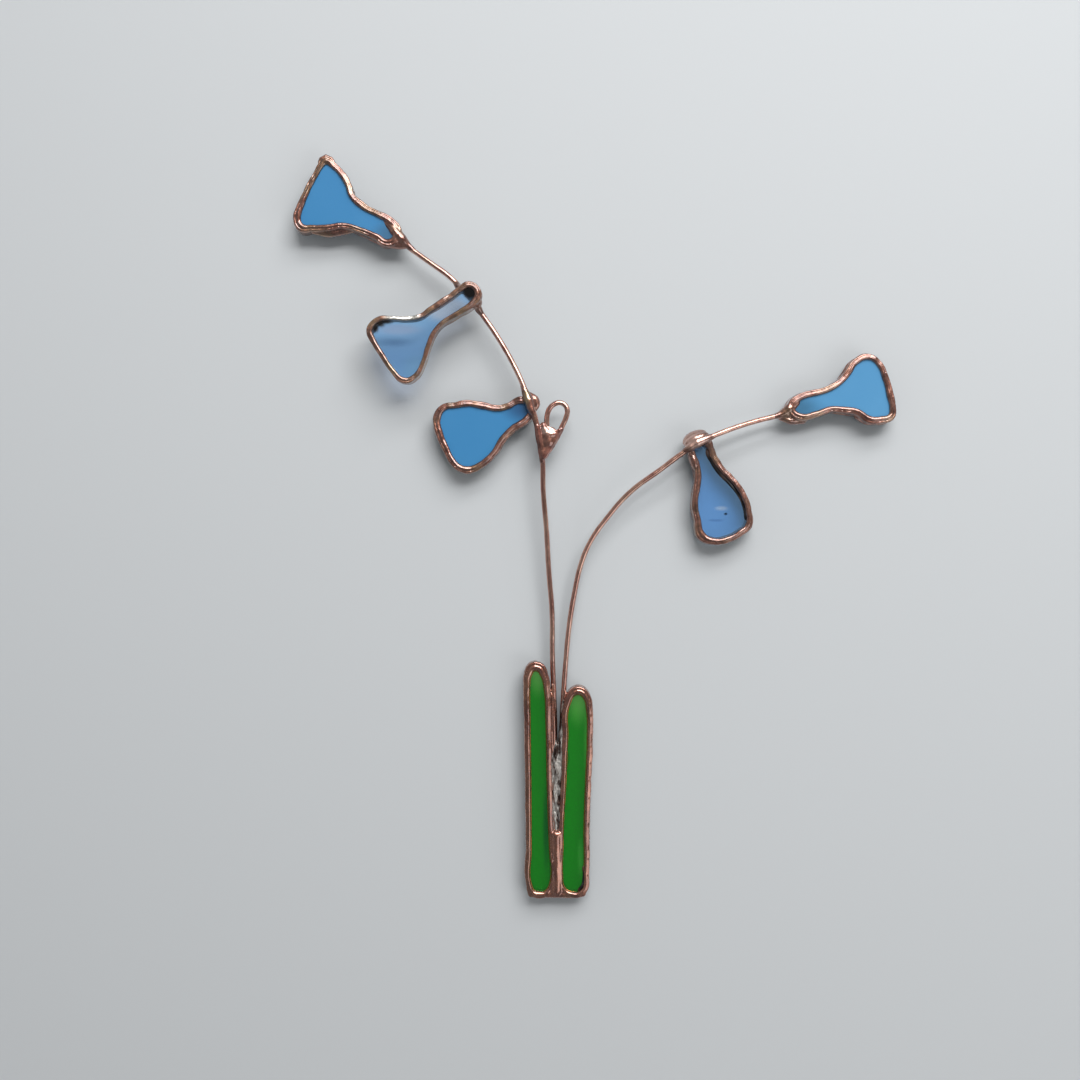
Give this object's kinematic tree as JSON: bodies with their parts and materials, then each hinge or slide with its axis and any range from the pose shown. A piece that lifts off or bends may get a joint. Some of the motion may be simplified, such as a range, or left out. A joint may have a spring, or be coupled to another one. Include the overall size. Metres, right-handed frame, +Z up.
{
  "type": "stained-glass bluebell hanging ornament",
  "caption": "Flat hanging ornament shaped like a bluebell spray: blue glass bells and long green glass leaves in copper-coloured solder rims, on curved wire stems with a small wire eye.",
  "frame": {"origin": "highest point inside the hanging eye, where a nail or hook bears, in the middle of the wire's depth", "axes": "+X to the right as seen from the front, +Z up, -Y towards the viewer, so the wall is on the +Y side"},
  "size_m": [0.1492, 0.0106, 0.1842],
  "materials": {
    "opal_blue_glass": "opalescent sheet glass, glossy",
    "clear_blue_glass": "clear pale blue sheet glass, glossy, slightly wavy",
    "green_glass": "clear deep green cathedral glass, glossy",
    "copper_solder": "solder bead with copper patina, polished, hand-run and uneven",
    "copper_wire": "tinned copper wire with copper patina",
    "bare_solder": "bright solder without patina, in the groove between the leaves",
    "foil_backing": "dark adhesive backing of the copper foil, seen through the clear glass"
  },
  "bodies": {
    "root": {"glass_bell_1": "opal_blue_glass", "glass_bell_2": "clear_blue_glass", "glass_bell_3": "opal_blue_glass", "glass_bell_4": "opal_blue_glass", "glass_bell_5": "clear_blue_glass", "glass_leaf_left": "green_glass", "glass_leaf_right": "green_glass", "rim_bell_1": "copper_solder", "rim_bell_2": "copper_solder", "rim_bell_3": "copper_solder", "rim_bell_4": "copper_solder", "rim_bell_5": "copper_solder", "leaf_frame": "copper_solder", "loop_solder": "copper_solder", "stem_left": "copper_wire", "stem_right": "copper_wire", "hang_loop": "copper_wire"}
  },
  "joints": []
}
